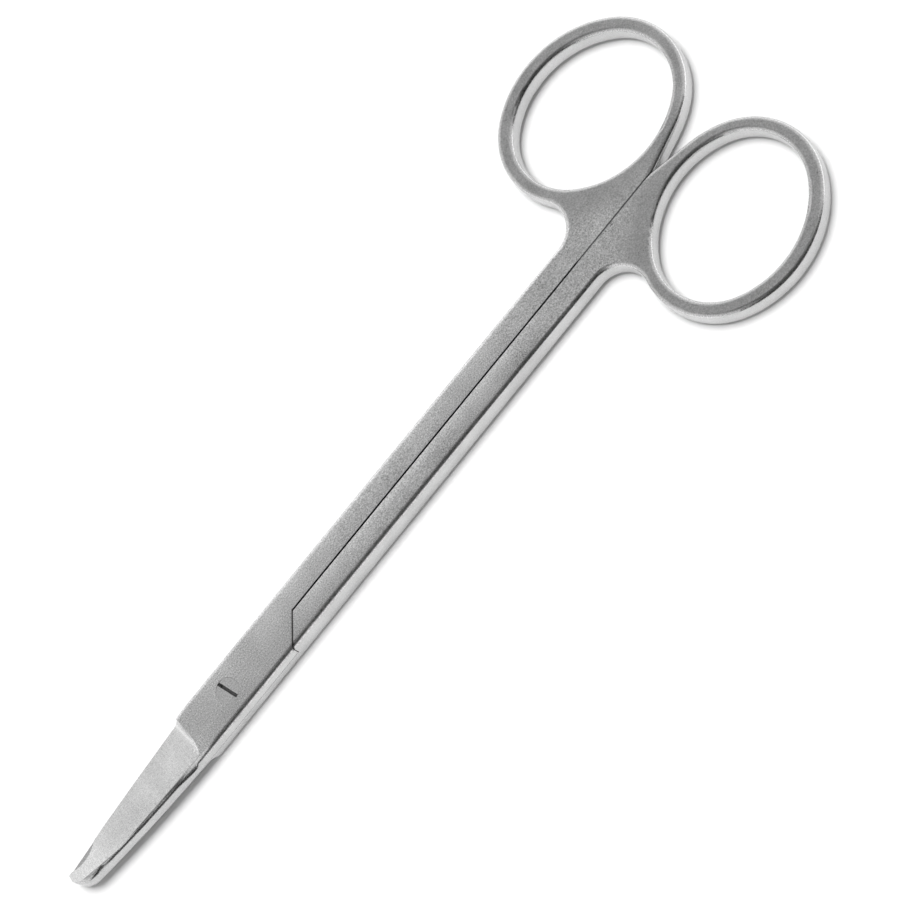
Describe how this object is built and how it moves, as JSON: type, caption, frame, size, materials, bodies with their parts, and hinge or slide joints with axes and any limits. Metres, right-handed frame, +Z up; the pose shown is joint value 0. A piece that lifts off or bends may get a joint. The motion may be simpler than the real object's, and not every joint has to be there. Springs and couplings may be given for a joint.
{
  "type": "suture scissors",
  "caption": "Slim ring-handled surgical scissors, lying closed, with a lap joint, a slotted joint screw and blunt ground blades, the upper one notched near its tip to take a stitch.",
  "frame": {"origin": "on the joint screw's axis, in the plane of the underside that the closed scissors lie on", "axes": "+X along the closed scissors from the joint to the finger rings, +Y to the upper half's ring, +Z up out of the face that shows the screw's slot"},
  "size_m": [0.1459, 0.0542, 0.0038],
  "materials": {
    "satin_steel": "satin, with brighter ground blades",
    "screw_steel": "satin, turned"
  },
  "bodies": {
    "lower": {"lower_half": "satin_steel", "joint_screw": "screw_steel"},
    "upper": {"upper_half": "satin_steel"}
  },
  "joints": [
    {"name": "scissor_joint", "type": "hinge", "parent": "lower", "child": "upper", "pos_m": [0, 0, 0.0019], "axis": [0, 0, 1], "range_deg": [0, 90]}
  ]
}
